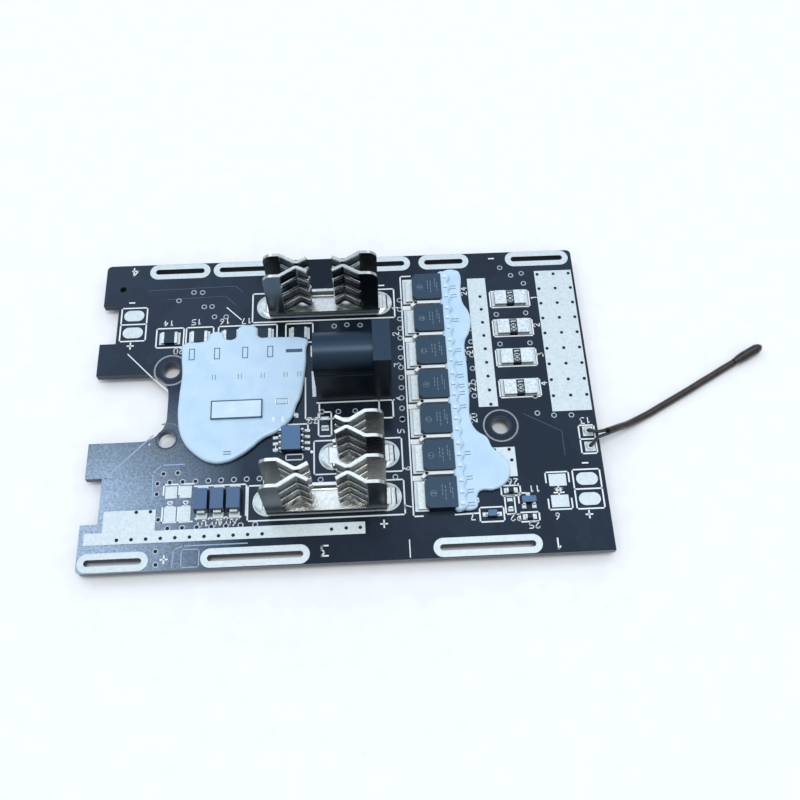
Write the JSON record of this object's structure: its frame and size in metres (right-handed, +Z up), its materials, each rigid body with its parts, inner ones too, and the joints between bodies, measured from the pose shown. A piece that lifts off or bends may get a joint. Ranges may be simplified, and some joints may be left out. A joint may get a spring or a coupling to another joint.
{
  "type": "battery management board",
  "caption": "Notched circuit board for a cell pack, with slotted spring fork contacts, a barrel charging socket, a transistor row, shunts, gel coated controller and a leaded temperature sensor.",
  "frame": {"origin": "middle of the board in plan, at the level of the tips of the trimmed legs under it", "axes": "+X along the board, away from the deep notch and towards the sensor lead; +Y across the board towards the negative contact; +Z up"},
  "size_m": [0.135, 0.066, 0.0193],
  "materials": {
    "laminate": "glossy dark solder mask over glass fibre laminate",
    "tin_plate": "tinned copper land",
    "contact_sheet": "bright tin over stamped brass sheet",
    "solder": "shiny solder",
    "socket_plastic": "smooth black moulding",
    "socket_metal": "nickel plated brass",
    "transistor_moulding": "fine textured epoxy",
    "lead_frame": "tinned lead frame",
    "shunt_alloy": "dark coated resistance strip",
    "chip_ends": "tinned end caps",
    "resistor_ceramic": "black glazed top",
    "capacitor_ceramic": "tan ceramic",
    "chip_moulding": "fine textured epoxy",
    "rectifier_moulding": "fine textured epoxy",
    "gel": "translucent pale blue silicone gel",
    "wire_insulation": "black insulated wire",
    "sleeve": "dark brown shrink sleeve",
    "bead": "dark resin dip"
  },
  "bodies": {
    "root": {"circuit_board": "laminate", "weld_slot_plating": "tin_plate", "tinned_lands": "tin_plate", "solder_lands": "tin_plate", "contact_negative": "contact_sheet", "contact_positive_long": "contact_sheet", "contact_positive_short": "contact_sheet", "contact_solder": "solder", "underside_solder": "solder", "sensor_solder": "solder", "jack_housing": "socket_plastic", "jack_centre_pin": "socket_metal", "jack_sleeve_spring": "socket_metal", "jack_switch_blade": "socket_metal", "transistor_body_1": "transistor_moulding", "transistor_body_2": "transistor_moulding", "transistor_body_3": "transistor_moulding", "transistor_body_4": "transistor_moulding", "transistor_body_5": "transistor_moulding", "transistor_body_6": "transistor_moulding", "transistor_body_7": "transistor_moulding", "transistor_frame_1": "lead_frame", "transistor_frame_2": "lead_frame", "transistor_frame_3": "lead_frame", "transistor_frame_4": "lead_frame", "transistor_frame_5": "lead_frame", "transistor_frame_6": "lead_frame", "transistor_frame_7": "lead_frame", "controller_leads": "lead_frame", "driver_leads": "lead_frame", "rectifier_terminals": "lead_frame", "small_signal_leads": "lead_frame", "shunt_core_1": "shunt_alloy", "shunt_core_2": "shunt_alloy", "shunt_core_3": "shunt_alloy", "shunt_core_4": "shunt_alloy", "shunt_ends_1": "chip_ends", "shunt_ends_2": "chip_ends", "shunt_ends_3": "chip_ends", "shunt_ends_4": "chip_ends", "chip_end_caps": "chip_ends", "resistor_bodies": "resistor_ceramic", "capacitor_bodies": "capacitor_ceramic", "controller_body": "chip_moulding", "driver_body": "chip_moulding", "small_signal_bodies": "chip_moulding", "rectifier_bodies": "rectifier_moulding", "controller_coating": "gel", "gate_coating": "gel", "sensor_wires": "wire_insulation", "sensor_sleeve": "sleeve", "sensor_bead": "bead"}
  },
  "joints": []
}
